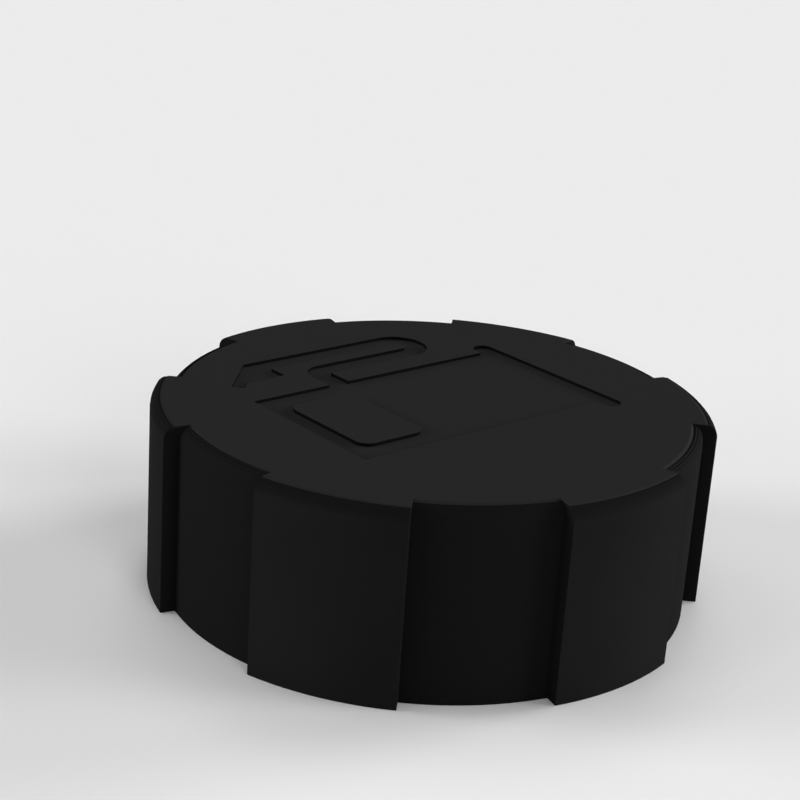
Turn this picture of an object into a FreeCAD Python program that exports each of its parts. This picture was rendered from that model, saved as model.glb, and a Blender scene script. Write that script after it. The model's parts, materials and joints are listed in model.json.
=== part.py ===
import FreeCAD, Part

import math
import os
import re

import Sketcher

# Vented ratchet cap for the filler neck of a fuel tank, in millimetres.
# The origin lies in the plane of the rim, on the axis, and +Z points out of the closed top.
# The closure screws on the neck. The grip shell turns it through spring pawls, which click
# over the teeth of the shell once the cap is tight, and lock the other way.

SIZES = {
    # Threaded closure, and the neck that it screws on
    "neck_radius": 29.5,
    "neck_depth": 11.5,
    "lead_in": 0.6,
    "closure_setback": 0.4,
    "closure_wall": 2.5,
    "closure_plate": 2.7,
    "collar_height": 2.0,
    "collar_gap": 0.5,
    # Gasket on the rim of the neck, snapped into a groove above the thread
    "gasket_height": 1.8,
    "gasket_width": 8.0,
    "gasket_grip": 0.5,
    "groove_gap": 0.2,
    # Clearances: between what turns, and between what is fitted together
    "running_gap": 0.4,
    "fit_gap": 0.1,
    # Snap ring in the skirt of the shell
    "ring_setback": 0.8,
    "ring_height": 3.4,
    "ring_wall": 2.9,
    "bead_rise": 1.1,
    "bead_width": 1.2,
    "bead_height": 0.5,
    # Grip shell
    "skirt_wall": 2.5,
    "top_wall": 2.6,
    "ceiling_gap": 0.6,
    "lobe_count": 6,
    "lobe_angle": 30,
    "lobe_height": 2.1,
    "edge_rounding": 1.8,
    "rib_count": 12,
    "rib_wall": 1.6,
    "rib_gap": 1.7,
    # Ratchet teeth inside the shell
    "tooth_count": 24,
    "tooth_depth": 1.3,
    "tooth_inset": 1.4,
    "tooth_band": 2.0,
    "tooth_gap": 0.6,
    # Pawl ring and the lugs that drive the closure
    "pawl_count": 4,
    "pawl_angle": 50,
    "pawl_lift": 0.3,
    "pawl_gap": 0.4,
    "pawl_lag": 0.6,
    "pawl_ramp": 10,
    "finger_wall": 1.6,
    "finger_gap": 1.7,
    "spoke_angle": 6,
    "hub_wall": 4.0,
    "hub_height": 3.4,
    "lug_angle": 12,
    "lug_gap": 0.8,
    "lug_length": 3.0,
    "lug_height": 3.0,
    "lug_lap": 1.4,
    # Slip washer under the hub of the shell
    "washer_wall": 0.4,
    "washer_margin": 0.5,
    # Valve housing
    "port_radius": 4.8,
    "seat_offset": 0.8,
    "seat_width": 0.8,
    "seat_height": 0.6,
    "seat_slope": 0.3,
    "housing_drop": 0.7,
    "housing_floor": 1.4,
    "housing_wall": 1.4,
    "hole_gap": 0.4,
    "flange_width": 5.0,
    "flange_wall": 1.6,
    "flange_gasket": 0.6,
    "gusset_wall": 1.4,
    "gusset_height": 2.6,
    "gusset_reach": 3.4,
    # Screws of the housing
    "screw_count": 3,
    "screw_radius": 0.95,
    "screw_play": 0.35,
    "pilot_gap": 0.05,
    "screw_bite": 2.9,
    "screw_head_radius": 1.9,
    "screw_head_height": 1.3,
    "screw_slot": 0.5,
    "boss_wall": 1.0,
    "boss_drop": 1.0,
    "boss_floor": 0.6,
    # Splash baffle and its posts
    "baffle_wall": 0.4,
    "baffle_gap": 1.0,
    "baffle_rise": 0.1,
    "post_inset": 4.0,
    "post_radius": 2.0,
    "post_tip_radius": 1.2,
    "slot_count": 6,
    "slot_angle": 32,
    "slot_inset": 4.5,
    "slot_width": 2.4,
    # Pressure valve
    "seal_margin": 1.1,
    "seal_height": 1.2,
    "seal_grip": 0.2,
    "plate_margin": 1.0,
    "plate_gap": 0.5,
    "plate_wall": 1.0,
    "spigot_height": 0.8,
    "lip_wall": 0.7,
    "lip_height": 0.6,
    "breather_count": 4,
    "breather_radius": 0.5,
    "pressure_wire": 0.8,
    "pressure_room": 3.9,
    "pressure_turns": 2,
    "spring_gap": 0.3,
    # Disc that holds the pressure spring
    "cap_wall": 1.1,
    "snap_depth": 0.5,
    "cap_ring_wall": 0.7,
    "vent_count": 6,
    "vent_radius": 0.8,
    "filter_height": 1.4,
    # Vacuum valve
    "disc_gap": 0.7,
    "disc_lap": 1.1,
    "disc_wall": 1.0,
    "stem_radius": 1.1,
    "stem_gap": 0.15,
    "stem_tip": 0.5,
    "vacuum_wire": 0.35,
    "vacuum_room": 2.4,
    "vacuum_turns": 3,
    "vacuum_slack": 0.45,
    "keeper_wall": 0.5,
    "keeper_width": 1.6,
    "keeper_groove": 0.3,
    "keeper_slot": 1.4,
    # Pump sign engraved in the top: cabinet, foot and window
    "sign_depth": 0.5,
    "pump_half_width": 12.4,
    "pump_low": 20.0,
    "pump_high": 22.6,
    "foot_half_width": 15.1,
    "foot_height": 3.2,
    "foot_round": 1.5,
    "window_half_width": 8.5,
    "window_low": 8.7,
    "window_high": 19.6,
    "window_round": 2.0,
    # Pump sign: hose and nozzle
    "hose_left": 16.5,
    "hose_right": 25.7,
    "hose_width": 3.45,
    "hose_high": 5.85,
    "hose_low": 10.5,
    "nozzle_bend": 15.0,
    "nozzle_reach": 6.9,
    "nozzle_width": 1.41,
    "holder_left": 19.0,
    "holder_low": 12.4,
}

# Places worked out from the sizes. A height is counted up from the rim, a radius out from the axis.
PLACES = {
    "bore_low": "closure_setback + lead_in",
    "bore_high": "bore_low + neck_depth",
    "plate_low": "bore_high + gasket_height",
    "plate_high": "plate_low + closure_plate",
    "closure_radius": "neck_radius + closure_wall",
    "gasket_radius": "neck_radius + gasket_grip",
    "gasket_hole": "gasket_radius - gasket_width",
    "ring_low": "ring_setback",
    "ring_high": "ring_setback + ring_height",
    "ring_hole": "closure_radius + running_gap",
    "ring_radius": "ring_hole + ring_wall",
    "skirt_hole": "ring_radius + fit_gap",
    "bead_low": "ring_low + bead_rise",
    "bead_high": "bead_low + bead_width",
    "bead_middle": "bead_low + bead_width / 2",
    "collar_low": "ring_high + running_gap",
    "collar_high": "collar_low + collar_height",
    "collar_radius": "skirt_hole - collar_gap",
    "recess_radius": "skirt_hole + skirt_wall",
    "lobe_radius": "recess_radius + lobe_height",
    "lobe_root": "recess_radius - skirt_wall / 2",
    "floor_low": "plate_low - housing_drop",
    "floor_high": "floor_low + housing_floor",
    "seat_high": "floor_high + seat_height",
    "seal_high": "seat_high + seal_height",
    "guide_high": "seal_high + plate_wall",
    "spring_high": "guide_high + pressure_room",
    "cap_high": "spring_high + cap_wall",
    "filter_high": "cap_high + filter_height",
    "housing_high": "filter_high + fit_gap",
    "ceiling": "housing_high + ceiling_gap",
    "top": "ceiling + top_wall",
    "flange_low": "plate_high + flange_gasket",
    "flange_high": "flange_low + flange_wall",
    "seat_hole": "port_radius + seat_offset",
    "seat_radius": "seat_hole + seat_width",
    "seal_radius": "seat_radius + seal_margin",
    "guide_radius": "seal_radius + plate_margin",
    "housing_hole": "guide_radius + plate_gap",
    "housing_radius": "housing_hole + housing_wall",
    "centre_hole": "housing_radius + hole_gap",
    "flange_radius": "housing_radius + flange_width",
    "boss_radius": "pilot_radius + boss_wall",
    "pilot_radius": "screw_radius + pilot_gap",
    "screw_circle": "centre_hole + boss_radius + hole_gap",
    "pilot_low": "plate_low - boss_drop + boss_floor",
    "lug_hole": "flange_radius + lug_gap",
    "lug_radius": "lug_hole + lug_length",
    "hub_hole": "lug_radius - lug_lap",
    "hub_radius": "hub_hole + hub_wall",
    "hub_high": "plate_high + hub_height",
    "washer_hole": "hub_hole + washer_margin",
    "washer_radius": "hub_radius - washer_margin",
    "washer_high": "hub_high + washer_wall",
    "boss_ring_hole": "washer_hole + washer_margin",
    "boss_ring_radius": "washer_radius - washer_margin",
    "boss_ring_low": "washer_high + running_gap - fit_gap",
    "rib_low": "hub_high + rib_gap",
    "tooth_root": "closure_radius - tooth_inset",
    "tooth_tip": "tooth_root - tooth_depth",
    "tooth_back": "tooth_root + tooth_band",
    "tooth_low": "plate_high + tooth_gap",
    "tooth_pitch": "360 / tooth_count",
    "pawl_low": "plate_high + pawl_lift",
    "pawl_tip": "tooth_root - pawl_gap",
    "finger_radius": "tooth_tip - finger_gap",
    "finger_hole": "finger_radius - finger_wall",
    "baffle_radius": "gasket_hole - baffle_gap",
    "baffle_low": "bore_high + baffle_rise",
    "baffle_high": "baffle_low + baffle_wall",
    "post_circle": "baffle_radius - post_inset",
    "slot_hole": "post_circle - slot_inset - slot_width / 2",
    "slot_rim": "slot_hole + slot_width",
    "disc_radius": "port_radius - disc_gap",
    "disc_low": "seat_high - disc_wall",
    "seal_hole": "disc_radius - disc_lap",
    "spigot_radius": "seal_hole - seal_grip",
    "stem_hole": "stem_radius + stem_gap",
    "breather_circle": "(stem_hole + spigot_radius) / 2",
    "lip_hole": "guide_radius - lip_wall",
    "pressure_radius": "lip_hole - spring_gap - pressure_wire / 2",
    "cap_ring_radius": "pressure_radius - pressure_wire / 2 - spring_gap",
    "cap_ring_hole": "cap_ring_radius - cap_ring_wall",
    "cap_radius": "housing_hole + snap_depth",
    "cap_groove": "cap_radius + fit_gap",
    "keeper_low": "guide_high + vacuum_room",
    "keeper_high": "keeper_low + keeper_wall",
    "keeper_hole": "stem_radius - keeper_groove",
    "keeper_radius": "keeper_hole + keeper_width",
    "stem_high": "keeper_high + stem_tip",
    "cap_hole": "keeper_radius + disc_gap",
    "vent_circle": "(cap_hole + cap_ring_hole) / 2",
    "vacuum_radius": "stem_radius + vacuum_slack + vacuum_wire / 2",
    "filter_radius": "housing_hole - fit_gap",
    "foot_low": "pump_low + foot_height",
    "hose_middle": "(hose_left + hose_right) / 2",
}

EDGE_FACETS = 6
WIRE_FLATS = 6
AXIS = FreeCAD.Vector(0, 0, 1)

DOCUMENT = FreeCAD.newDocument("FuelFillerCap")
SHEET = DOCUMENT.addObject("Spreadsheet::Sheet", "Sizes")
for row, (alias, size) in enumerate(SIZES.items(), start=1):
    SHEET.set(f"A{row}", alias)
    SHEET.set(f"B{row}", str(size))
    SHEET.setAlias(f"B{row}", alias)
DOCUMENT.recompute()


def bound(text):
    """The expression with each place written out in cells of the sheet."""

    def cell(match):
        word = match.group()
        if word in PLACES:
            return f"({bound(PLACES[word])})"
        return f"Sizes.{word}" if word in SIZES else word

    return re.sub(r"[a-z_]+", cell, text)


def value(text):
    """The number that an expression comes to now."""
    return float(SHEET.evalExpression(bound(text)))


def polar(radius, angle):
    """Both coordinates of a point at a radius and an angle in degrees."""
    return f"({radius}) * cos({angle})", f"({radius}) * sin({angle})"


def point(corner):
    """A corner as a vector in its sketch."""
    return FreeCAD.Vector(value(corner[0]), value(corner[1]), 0)


def tie(sketch, kind, edge, end, text):
    """Add one dimension to a sketch and bind it to the sheet."""
    index = sketch.addConstraint(Sketcher.Constraint(kind, edge, end, value(text)))
    sketch.setExpression(f"Constraints[{index}]", bound(text))


def line(corner):
    """A step of an outline: a straight edge to the corner."""
    return corner, None, False


def arc(corner, about, clockwise=False):
    """A step of an outline: an arc to the corner about a centre."""
    return corner, about, clockwise


def outline(sketch, start, *steps):
    """Draw one closed outline, from its start through its steps and back."""
    edges = []
    here = start
    for corner, about, clockwise in (*steps, line(start)):
        first, last = point(here), point(corner)
        if (last - first).Length < 1e-7:
            continue
        if about is None:
            edge = sketch.addGeometry(Part.LineSegment(first, last))
            edges.append((edge, 1, 2, here))
        else:
            centre = point(about)
            if clockwise:
                first, last = last, first
            begin = math.atan2(first.y - centre.y, first.x - centre.x)
            end = math.atan2(last.y - centre.y, last.x - centre.x)
            if end < begin:
                end += 2 * math.pi
            circle = Part.Circle(centre, AXIS, (first - centre).Length)
            edge = sketch.addGeometry(Part.ArcOfCircle(circle, begin, end))
            edges.append((edge, 2, 1, here) if clockwise else (edge, 1, 2, here))
            level = abs(last.x - first.x) > abs(last.y - first.y)
            tie(sketch, "DistanceY" if level else "DistanceX", edge, 3, about[1 if level else 0])
        here = corner
    for (before, _, tail, _), (edge, head, _, corner) in zip([edges[-1], *edges[:-1]], edges):
        sketch.addConstraint(Sketcher.Constraint("Coincident", before, tail, edge, head))
        tie(sketch, "DistanceX", edge, head, corner[0])
        tie(sketch, "DistanceY", edge, head, corner[1])


def circle(sketch, radius, centre=("0", "0")):
    """Draw one circle."""
    shape = Part.Circle(point(centre), AXIS, value(radius))
    edge = sketch.addGeometry(shape)
    tie(sketch, "DistanceX", edge, 3, centre[0])
    tie(sketch, "DistanceY", edge, 3, centre[1])
    index = sketch.addConstraint(Sketcher.Constraint("Radius", edge, value(radius)))
    sketch.setExpression(f"Constraints[{index}]", bound(radius))


def sector(sketch, hole, radius, low, high):
    """Draw a ring sector between two radii and two angles."""
    centre = ("0", "0")
    outline(
        sketch,
        polar(hole, low),
        line(polar(radius, low)),
        arc(polar(radius, high), centre),
        line(polar(hole, high)),
        arc(polar(hole, low), centre, clockwise=True),
    )


def axis_line(sketch, start, end):
    """Draw a construction line, to turn a section about."""
    edge = sketch.addGeometry(Part.LineSegment(point(start), point(end)), True)
    for corner, place in ((1, start), (2, end)):
        tie(sketch, "DistanceX", edge, corner, place[0])
        tie(sketch, "DistanceY", edge, corner, place[1])


def wire_section(sketch, wire, x, y):
    """Draw the section of a spring's wire, with as many flats as it takes to look round."""
    angles = [360 / WIRE_FLATS * index for index in range(WIRE_FLATS)]
    corners = [(f"{x} + {wire} / 2 * cos({angle})", f"{y} + {wire} / 2 * sin({angle})") for angle in angles]
    outline(sketch, corners[0], *(line(corner) for corner in corners[1:]))


class Piece:
    """One separate piece of the cap: a body, and the features that make it."""

    made = []

    def __init__(self, name):
        self.body = DOCUMENT.addObject("PartDesign::Body", name)
        self.body.Label = name
        Piece.made.append(self)

    def plane(self, role):
        """The origin plane or axis of the body with this role."""
        return next(item for item in self.body.Origin.OriginFeatures if item.Role == role)

    def sketch(self, name, role="XY_Plane", level="0"):
        """A sketch on an origin plane, raised to a level."""
        sketch = self.body.newObject("Sketcher::SketchObject", f"{self.body.Name}_{name}")
        sketch.AttachmentSupport = [(self.plane(role), "")]
        sketch.MapMode = "FlatFace"
        sketch.setExpression("AttachmentOffset.Base.z", bound(level))
        return sketch

    def feature(self, kind, sketch, name):
        """A feature of this kind on a sketch, which becomes the tip of the body."""
        feature = self.body.newObject(f"PartDesign::{kind}", f"{self.body.Name}_{name}")
        if sketch is not None:
            feature.Profile = (sketch, [""])
        self.body.Tip = feature
        return feature

    def done(self, feature):
        """Work the feature out, and see that it changed the solid."""
        before = self.volume if hasattr(self, "volume") else 0.0
        DOCUMENT.recompute()
        self.volume = self.body.Shape.Volume
        if math.isclose(before, self.volume, rel_tol=1e-9):
            raise ValueError(f"{feature.Name} changes nothing")
        return feature

    def turn(self, sketch, name="turned", angle="360"):
        """Revolve a half section about the axis of the cap, centred on its plane."""
        feature = self.feature("Revolution", sketch, name)
        feature.ReferenceAxis = (sketch, ["V_Axis"])
        feature.Midplane = angle != "360"
        feature.setExpression("Angle", bound(angle))
        return self.done(feature)

    def pad(self, sketch, height, name, down=False, centred=False):
        """Add the outline of a sketch, to a height above it or a depth below it."""
        feature = self.feature("Pad", sketch, name)
        feature.setExpression("Length", bound(height))
        feature.Reversed = down
        feature.SideType = "Symmetric" if centred else "One side"
        return self.done(feature)

    def pocket(self, sketch, depth, name):
        """Cut the outline of a sketch down to a depth below it."""
        feature = self.feature("Pocket", sketch, name)
        feature.setExpression("Length", bound(depth))
        return self.done(feature)

    def around(self, features, count, name):
        """Repeat features about the axis of the cap."""
        pattern = self.feature("PolarPattern", None, name)
        pattern.Originals = features
        pattern.Axis = (self.plane("Z_Axis"), [""])
        pattern.Angle = 360
        pattern.setExpression("Occurrences", bound(count))
        return self.done(pattern)

    def coil(self, radius, wire, low, high, turns):
        """Wind a wire up the axis between two levels, as half turns that meet in line.

        Each half turn goes round an axis that leans by half of its rise, so it starts and ends level.
        """
        rise = f"(({high} - {low} - {wire}) / {turns} / 2)"
        for step in range(2 * round(value(turns))):
            side = "-1" if step % 2 else "1"
            level = f"({low} + {wire} / 2 + {rise} * {step})"
            middle = f"({level} + {rise} / 2)"
            sketch = self.sketch(f"half_turn_{step}", "XZ_Plane")
            axis_line(sketch, ("0", middle), (f"{side} * {rise} / 2", f"{middle} + {radius}"))
            wire_section(sketch, wire, f"{side} * {radius}", level)
            half_turn = self.feature("Revolution", sketch, f"turned_{step}")
            half_turn.ReferenceAxis = (sketch, ["Axis0"])
            half_turn.Angle = 180
            self.done(half_turn)


def rounded_edge(radius):
    """Steps round the top outer edge: flat facets on a quarter circle, as moulded."""
    turn = 90 / EDGE_FACETS
    centre = f"{radius} - edge_rounding", "top - edge_rounding"
    angles = [index * turn for index in range(EDGE_FACETS + 1)]
    return [
        line((f"{centre[0]} + edge_rounding * cos({angle})", f"{centre[1]} + edge_rounding * sin({angle})"))
        for angle in angles
    ]


def grip_shell():
    """Outer shell: faceted cup with lobes, ratchet teeth, hub ring and engraved sign."""
    piece = Piece("grip_shell")
    cup = piece.sketch("cup", "XZ_Plane")
    outline(
        cup,
        ("0", "ceiling"),
        line(("boss_ring_hole", "ceiling")),
        line(("boss_ring_hole", "boss_ring_low")),
        line(("boss_ring_radius", "boss_ring_low")),
        line(("boss_ring_radius", "ceiling")),
        line(("tooth_root", "ceiling")),
        line(("tooth_root", "tooth_low")),
        line(("tooth_back", "tooth_low")),
        line(("tooth_back", "ceiling")),
        line(("skirt_hole", "ceiling")),
        line(("skirt_hole", "bead_high + fit_gap")),
        line(("skirt_hole + bead_height", "bead_middle")),
        line(("skirt_hole", "bead_low - fit_gap")),
        line(("skirt_hole", "0")),
        line(("recess_radius", "0")),
        *rounded_edge("recess_radius"),
        line(("0", "top")),
    )
    piece.turn(cup, "cup")

    lobe = piece.sketch("lobe", "XZ_Plane")
    outline(
        lobe,
        ("lobe_root", "0"),
        line(("lobe_radius", "0")),
        *rounded_edge("lobe_radius"),
        line(("skirt_hole", "top")),
        line(("skirt_hole", "ceiling")),
        line(("lobe_root", "ceiling")),
    )
    piece.around([piece.turn(lobe, "lobe", "lobe_angle")], "lobe_count", "lobes")

    tooth = piece.sketch("tooth", level="tooth_low")
    back = "tooth_root + tooth_band / 3"
    outline(
        tooth,
        polar(back, "0"),
        line(polar("tooth_root", "0")),
        line(polar("tooth_tip", "tooth_pitch")),
        line(polar(back, "tooth_pitch")),
    )
    teeth = piece.pad(tooth, "ceiling - tooth_low + top_wall / 2", "tooth")
    piece.around([teeth], "tooth_count", "teeth")

    rib = piece.sketch("rib", level="ceiling + top_wall / 2")
    inner, outer = "boss_ring_radius - washer_margin", "recess_radius - skirt_wall / 2"
    outline(
        rib,
        (inner, "-rib_wall / 2"),
        line((outer, "-rib_wall / 2")),
        line((outer, "rib_wall / 2")),
        line((inner, "rib_wall / 2")),
    )
    ribs = piece.pad(rib, "ceiling + top_wall / 2 - rib_low", "rib", down=True)
    piece.around([ribs], "rib_count", "ribs")

    piece.pocket(pump_sign(piece), "sign_depth", "sign")


def pump_sign(piece):
    """Outline of the engraved pump: cabinet on its foot, hose, nozzle, and the window as an island."""
    sketch = piece.sketch("sign", level="top")
    foot_edge = "foot_half_width - foot_round"
    foot_upper = "-pump_low - foot_round"
    foot_lower = "-foot_low + foot_round"
    hose_inner = "hose_right - hose_width"
    tip_x = "hose_right - nozzle_reach"
    tip_y = "nozzle_bend + nozzle_reach"
    holder_high = f"{tip_y} - 2 * nozzle_width + {tip_x} - holder_left"
    outline(
        sketch,
        (f"-({foot_edge})", "-foot_low"),
        line((foot_edge, "-foot_low")),
        arc(("foot_half_width", foot_lower), (foot_edge, foot_lower)),
        line(("foot_half_width", foot_upper)),
        arc((foot_edge, "-pump_low"), (foot_edge, foot_upper)),
        line(("pump_half_width", "-pump_low")),
        line(("pump_half_width", "hose_high")),
        line(("hose_left", "hose_high")),
        line(("hose_left", "-hose_low")),
        arc(("hose_right", "-hose_low"), ("hose_middle", "-hose_low")),
        line(("hose_right", "nozzle_bend")),
        line((tip_x, tip_y)),
        line((f"{tip_x} - nozzle_width", f"{tip_y} - nozzle_width")),
        line(("holder_left", holder_high)),
        line(("holder_left", "holder_low")),
        line((hose_inner, "holder_low")),
        line((hose_inner, "-hose_low")),
        arc(("hose_left + hose_width", "-hose_low"), ("hose_middle", "-hose_low"), clockwise=True),
        line(("hose_left + hose_width", "hose_high")),
        arc(("hose_left", "hose_high + hose_width"), ("hose_left", "hose_high")),
        line(("pump_half_width", "hose_high + hose_width")),
        line(("pump_half_width", "pump_high")),
        line(("-pump_half_width", "pump_high")),
        line(("-pump_half_width", "-pump_low")),
        line((f"-({foot_edge})", "-pump_low")),
        arc(("-foot_half_width", foot_upper), (f"-({foot_edge})", foot_upper)),
        line(("-foot_half_width", foot_lower)),
        arc((f"-({foot_edge})", "-foot_low"), (f"-({foot_edge})", foot_lower)),
    )
    side = "window_half_width - window_round"
    low, high = "window_low + window_round", "window_high - window_round"
    outline(
        sketch,
        (f"-({side})", "window_low"),
        line((side, "window_low")),
        arc(("window_half_width", low), (side, low)),
        line(("window_half_width", high)),
        arc((side, "window_high"), (side, high)),
        line((f"-({side})", "window_high")),
        arc(("-window_half_width", high), (f"-({side})", high)),
        line(("-window_half_width", low)),
        arc((f"-({side})", "window_low"), (f"-({side})", low)),
    )
    return sketch


def retaining_ring():
    """Snap ring in the skirt of the shell, with a bead that clicks into its groove."""
    piece = Piece("retaining_ring")
    section = piece.sketch("section", "XZ_Plane")
    outline(
        section,
        ("ring_hole", "ring_low"),
        line(("ring_radius", "ring_low")),
        line(("ring_radius", "bead_low")),
        line(("ring_radius + bead_height", "bead_middle")),
        line(("ring_radius", "bead_high")),
        line(("ring_radius", "ring_high")),
        line(("ring_hole", "ring_high")),
    )
    piece.turn(section)


def threaded_closure():
    """Inner cap: threaded skirt, collar, plate with drive lugs, screw bosses and baffle posts."""
    piece = Piece("threaded_closure")
    cup = piece.sketch("cup", "XZ_Plane")
    groove = "gasket_radius + groove_gap"
    outline(
        cup,
        ("neck_radius + lead_in", "closure_setback"),
        line(("closure_radius", "closure_setback")),
        line(("closure_radius", "collar_low")),
        line(("collar_radius", "collar_low")),
        line(("collar_radius", "collar_high")),
        line(("closure_radius", "collar_high")),
        line(("closure_radius", "plate_high - lead_in")),
        line(("closure_radius - lead_in", "plate_high")),
        line(("centre_hole", "plate_high")),
        line(("centre_hole", "plate_low")),
        line((groove, "plate_low")),
        line((groove, "bore_high")),
        line(("neck_radius", "bore_high")),
        line(("neck_radius", "bore_low")),
    )
    piece.turn(cup, "cup")

    lug = piece.sketch("lug", level="plate_high")
    sector(lug, "lug_hole", "lug_radius", "-lug_angle / 2", "lug_angle / 2")
    piece.around([piece.pad(lug, "lug_height", "lug")], "pawl_count", "lugs")

    boss = piece.sketch("boss", level="plate_low")
    half_step = "180 / screw_count"
    circle(boss, "boss_radius", polar("screw_circle", half_step))
    bosses = piece.pad(boss, "boss_drop", "boss", down=True)
    piece.around([bosses], "screw_count", "bosses")
    pilot = piece.sketch("pilot", level="plate_high")
    circle(pilot, "pilot_radius", polar("screw_circle", half_step))
    pilots = piece.pocket(pilot, "plate_high - pilot_low", "pilot")
    piece.around([pilots], "screw_count", "pilots")

    post = piece.sketch("post", level="plate_low")
    circle(post, "post_radius", ("post_circle", "0"))
    posts = piece.pad(post, "plate_low - baffle_high", "post", down=True)
    piece.around([posts], "screw_count", "posts")
    tip = piece.sketch("tip", level="baffle_high")
    circle(tip, "post_tip_radius", ("post_circle", "0"))
    tips = piece.pad(tip, "baffle_wall + baffle_rise / 2", "tip", down=True)
    piece.around([tips], "screw_count", "tips")


def ring_piece(name, hole, radius, low, high):
    """A flat ring between two radii and two levels."""
    piece = Piece(name)
    section = piece.sketch("section", "XZ_Plane")
    outline(section, (hole, low), line((radius, low)), line((radius, high)), line((hole, high)))
    piece.turn(section)
    return piece


def neck_gasket():
    """Flat rubber ring on the rim of the neck."""
    ring_piece("neck_gasket", "gasket_hole", "gasket_radius", "bore_high", "plate_low")


def slip_washer():
    """Thin washer that the hub of the shell turns on."""
    ring_piece("slip_washer", "washer_hole", "washer_radius", "hub_high", "washer_high")


def housing_gasket():
    """Gasket under the flange of the valve housing, with holes for the screws."""
    piece = ring_piece("housing_gasket", "centre_hole", "flange_radius", "plate_high", "flange_low")
    hole = piece.sketch("hole", level="flange_low")
    circle(hole, "screw_radius + screw_play", polar("screw_circle", "180 / screw_count"))
    holes = piece.pocket(hole, "flange_gasket", "hole")
    piece.around([holes], "screw_count", "holes")


def ratchet_ring():
    """Pawl ring: hub with notches for the lugs, and springy fingers with saw-shaped tips."""
    piece = Piece("ratchet_ring")
    hub = piece.sketch("hub", level="plate_high")
    circle(hub, "hub_radius")
    circle(hub, "hub_hole")
    piece.pad(hub, "hub_height", "hub")
    notch = piece.sketch("notch", level="hub_high")
    margin = "lug_angle / 2 + fit_gap * 6"
    notch_hole = "hub_hole - lug_lap / 2"
    sector(notch, notch_hole, "lug_radius + fit_gap", f"-({margin})", margin)
    piece.around([piece.pocket(notch, "hub_height", "notch")], "pawl_count", "notches")

    pawl = piece.sketch("pawl", level="pawl_low")
    centre = ("0", "0")
    root, heel = "pawl_angle - spoke_angle / 2", "pawl_angle + spoke_angle / 2"
    ramp_end = "pawl_lag + pawl_ramp"
    ramp_radius = "pawl_tip - tooth_depth * pawl_ramp / tooth_pitch"
    outline(
        pawl,
        polar("finger_hole", "pawl_lag"),
        line(polar("pawl_tip", "pawl_lag")),
        line(polar(ramp_radius, ramp_end)),
        line(polar("finger_radius", f"{ramp_end} + pawl_ramp / 5")),
        arc(polar("finger_radius", heel), centre),
        line(polar("hub_radius - washer_margin", heel)),
        line(polar("hub_radius - washer_margin", root)),
        line(polar("finger_hole", root)),
        arc(polar("finger_hole", "pawl_lag"), centre, clockwise=True),
    )
    fingers = piece.pad(pawl, "hub_high - pawl_low", "pawl")
    piece.around([fingers], "pawl_count", "pawls")


def valve_housing():
    """Cup of the breather valves: port, seat ridge, snap groove, flange and gussets."""
    piece = Piece("valve_housing")
    cup = piece.sketch("cup", "XZ_Plane")
    outline(
        cup,
        ("port_radius", "floor_low"),
        line(("housing_radius", "floor_low")),
        line(("housing_radius", "flange_low")),
        line(("flange_radius", "flange_low")),
        line(("flange_radius", "flange_high")),
        line(("housing_radius", "flange_high")),
        line(("housing_radius", "housing_high")),
        line(("housing_hole", "housing_high")),
        line(("housing_hole", "cap_high")),
        line(("cap_groove", "cap_high")),
        line(("cap_groove", "spring_high")),
        line(("housing_hole", "spring_high")),
        line(("housing_hole", "floor_high")),
        line(("seat_radius + seat_slope", "floor_high")),
        line(("seat_radius", "seat_high")),
        line(("seat_hole", "seat_high")),
        line(("seat_hole - seat_slope", "floor_high")),
        line(("port_radius", "floor_high")),
    )
    piece.turn(cup, "cup")

    gusset = piece.sketch("gusset", "XZ_Plane")
    root = "housing_radius - housing_wall / 4"
    foot = "flange_high - flange_wall / 2"
    outline(
        gusset,
        (root, foot),
        line(("housing_radius + gusset_reach", foot)),
        line(("housing_radius + gusset_reach", "flange_high")),
        line(("housing_radius", "flange_high + gusset_height")),
        line((root, "flange_high + gusset_height")),
    )
    gussets = piece.pad(gusset, "gusset_wall", "gusset", centred=True)
    piece.around([gussets], "screw_count", "gussets")

    hole = piece.sketch("hole", level="flange_high")
    circle(hole, "screw_radius + screw_play", polar("screw_circle", "180 / screw_count"))
    holes = piece.pocket(hole, "flange_wall", "hole")
    piece.around([holes], "screw_count", "holes")


def valve_screws():
    """Three pan-head screws, each with a cross slot."""
    piece = Piece("valve_screws")
    centre = polar("screw_circle", "180 / screw_count")
    head = piece.sketch("head", level="flange_high")
    circle(head, "screw_head_radius", centre)
    heads = piece.pad(head, "screw_head_height", "head")
    shank = piece.sketch("shank", level="flange_high")
    circle(shank, "screw_radius", centre)
    shanks = piece.pad(shank, "flange_high - plate_high + screw_bite", "shank", down=True)
    slot = piece.sketch("slot", level="flange_high + screw_head_height")
    reach, half = "screw_head_radius * 0.6", "screw_slot / 2"
    steps = [
        (reach, f"-{half}"),
        (reach, half),
        (half, half),
        (half, reach),
        (f"-{half}", reach),
        (f"-{half}", half),
        (f"-{reach}", half),
        (f"-{reach}", f"-{half}"),
        (f"-{half}", f"-{half}"),
        (f"-{half}", f"-{reach}"),
        (half, f"-{reach}"),
        (half, f"-{half}"),
    ]
    corners = [(f"{centre[0]} + {x}", f"{centre[1]} + {y}") for x, y in steps]
    outline(slot, corners[0], *(line(corner) for corner in corners[1:]))
    slots = piece.pocket(slot, "screw_head_height / 2", "slot")
    piece.around([heads, shanks, slots], "screw_count", "screws")


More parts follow.
